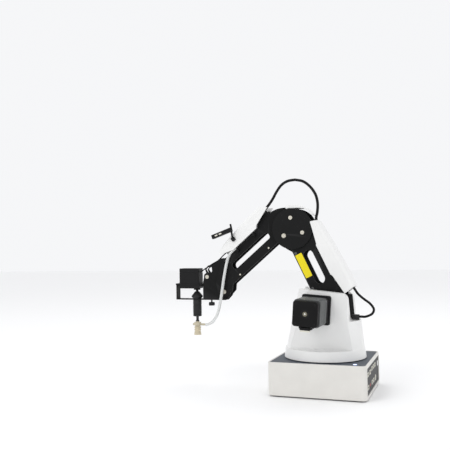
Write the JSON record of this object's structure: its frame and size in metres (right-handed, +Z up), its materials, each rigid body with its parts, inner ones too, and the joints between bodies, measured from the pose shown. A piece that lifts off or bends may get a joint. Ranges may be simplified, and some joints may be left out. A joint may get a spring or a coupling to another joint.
{
  "type": "desktop robot arm",
  "caption": "Desktop robot arm with a turning base, parallel-linkage arm that keeps its wrist level, and a suction tool fed by an air tube.",
  "frame": {"origin": "on the table under the centre of the square base", "axes": "+X is the arm's reach at base angle zero, +Y is the arm's left, +Z is up"},
  "size_m": [0.3549, 0.2408, 0.3579],
  "materials": {
    "shell_white": "satin moulding",
    "base_silver": "satin warm white coat",
    "slate_top": "fine matt",
    "plate_black": "black anodised, satin",
    "steel": "polished pin heads",
    "grey_alloy": "milled",
    "gearbox_black": "black, satin",
    "motor_silver": "stacked laminations",
    "cap_black": "cast, painted black",
    "inner_motor": "plain",
    "panel_black": "fine texture",
    "connector_ivory": "moulded",
    "lining_dark": "fine texture",
    "board_green": "solder mask",
    "lens_clear": "frosted lens",
    "feet_rubber": "matt",
    "button_silver": "bright",
    "button_red": "gloss",
    "label_yellow": "printed film",
    "lead_black": "matt jacket",
    "tube_clear": "translucent",
    "servo_black": "moulded",
    "tool_black": "turned, satin",
    "fitting_ivory": "moulded",
    "cup_beige": "translucent silicone"
  },
  "bodies": {
    "base": {"base_shell": "base_silver", "bottom_plate": "inner_motor", "top_plate": "slate_top", "rear_panel": "panel_black", "panel_sockets": "connector_ivory", "status_light": "lens_clear", "rubber_feet": "feet_rubber", "control_board": "board_green", "base_motor": "inner_motor"},
    "power_button": {"power_button": "button_silver"},
    "reset_button": {"reset_button": "button_red"},
    "turret": {"turret_shell": "shell_white", "turntable": "grey_alloy", "turret_frame": "grey_alloy", "left_gearbox": "gearbox_black", "right_gearbox": "gearbox_black", "left_motor": "motor_silver", "right_motor": "motor_silver", "left_motor_cap": "cap_black", "right_motor_cap": "cap_black", "motor_plugs": "connector_ivory", "motor_screws": "steel", "shoulder_shaft": "steel", "link_anchor": "steel", "notch_cover": "lining_dark", "shoulder_lead": "lead_black"},
    "rear_arm": {"rear_plate_left": "plate_black", "rear_plate_right": "plate_black", "rear_spacers": "steel", "rear_cover": "shell_white", "arm_label": "label_yellow"},
    "rear_link": {"rear_level_link": "plate_black"},
    "crank": {"drive_crank": "grey_alloy"},
    "crank_pin": {"crank_pin": "steel"},
    "rod": {"drive_rod": "plate_black"},
    "elbow": {"elbow_plate_left": "plate_black", "elbow_plate_right": "plate_black", "elbow_pins": "steel", "elbow_cap": "shell_white", "elbow_lead": "lead_black"},
    "forearm": {"fore_plate_left": "plate_black", "fore_plate_right": "plate_black", "fore_tail": "grey_alloy", "fore_spacers": "steel", "fore_cover": "shell_white", "plug_clip": "tool_black", "signal_plug": "servo_black"},
    "front_link": {"front_level_link": "plate_black"},
    "wrist": {"wrist_bracket": "plate_black", "wrist_pins": "steel", "servo": "servo_black", "air_tube": "tube_clear", "servo_lead": "lead_black"},
    "thumb_screw": {"thumb_screw": "tool_black"},
    "tool": {"servo_horn": "servo_black", "coupling_cap": "tool_black", "tool_holder": "tool_black", "tool_rod": "grey_alloy", "air_fitting": "fitting_ivory", "suction_cup": "cup_beige"}
  },
  "joints": [
    {"name": "base_turn", "type": "hinge", "parent": "base", "child": "turret", "pos_m": [0, 0, 0.0553], "axis": [0, 0, 1], "range_deg": [-90, 90]},
    {"name": "shoulder", "type": "hinge", "parent": "turret", "child": "rear_arm", "pos_m": [0.005, 0, 0.137], "axis": [0, 1, 0], "range_deg": [-24, 40], "deforming": ["shoulder_lead"]},
    {"name": "elbow_level", "type": "hinge", "parent": "rear_arm", "child": "elbow", "pos_m": [0.06312, 0, 0.25885], "axis": [0, 1, 0], "range_deg": [-40, 24]},
    {"name": "rear_link_foot", "type": "hinge", "parent": "turret", "child": "rear_link", "pos_m": [-0.02745, 0, 0.14179], "axis": [0, 1, 0], "range_deg": [-24, 40]},
    {"name": "forearm", "type": "hinge", "parent": "elbow", "child": "forearm", "pos_m": [0.06312, 0, 0.25885], "axis": [0, 1, 0], "range_deg": [-34, 20], "deforming": ["elbow_lead"]},
    {"name": "front_link_top", "type": "hinge", "parent": "elbow", "child": "front_link", "pos_m": [0.05083, 0, 0.28926], "axis": [0, 1, 0], "range_deg": [-34, 20]},
    {"name": "wrist_level", "type": "hinge", "parent": "forearm", "child": "wrist", "pos_m": [0.17604, 0, 0.16241], "axis": [0, 1, 0], "range_deg": [-20, 34], "deforming": ["air_tube", "servo_lead"]},
    {"name": "crank_turn", "type": "hinge", "parent": "turret", "child": "crank", "pos_m": [0.005, 0, 0.137], "axis": [0, 1, 0], "range_deg": [-34, 20]},
    {"name": "crank_pin_turn", "type": "hinge", "parent": "crank", "child": "crank_pin", "pos_m": [-0.02116, 0, 0.16456], "axis": [0, 1, 0], "range_deg": [-20, 34]},
    {"name": "rod_swing", "type": "hinge", "parent": "crank_pin", "child": "rod", "pos_m": [-0.02116, 0, 0.16456], "axis": [0, 1, 0], "range_deg": [-24, 40]},
    {"name": "tool_turn", "type": "hinge", "parent": "wrist", "child": "tool", "pos_m": [0.23254, 0, 0.16], "axis": [0, 0, 1], "range_deg": [-90, 90]},
    {"name": "thumb_screw_turn", "type": "hinge", "parent": "wrist", "child": "thumb_screw", "pos_m": [0.20424, 0, 0.14], "axis": [0, 0, 1], "continuous": true},
    {"name": "power_button_push", "type": "slide", "parent": "base", "child": "power_button", "axis": [1, 0, 0], "range_m": [0, 0.0012], "stiffness_N_per_m": 400},
    {"name": "reset_button_push", "type": "slide", "parent": "base", "child": "reset_button", "axis": [1, 0, 0], "range_m": [0, 0.0005], "stiffness_N_per_m": 400}
  ],
  "couplings": [
    {"joint": "elbow_level", "follows": "shoulder", "ratio": -1},
    {"joint": "rear_link_foot", "follows": "shoulder", "ratio": 1},
    {"joint": "front_link_top", "follows": "forearm", "ratio": 1},
    {"joint": "wrist_level", "follows": "forearm", "ratio": -1},
    {"joint": "crank_turn", "follows": "forearm", "ratio": 1},
    {"joint": "crank_pin_turn", "follows": "forearm", "ratio": -1},
    {"joint": "rod_swing", "follows": "shoulder", "ratio": 1}
  ]
}
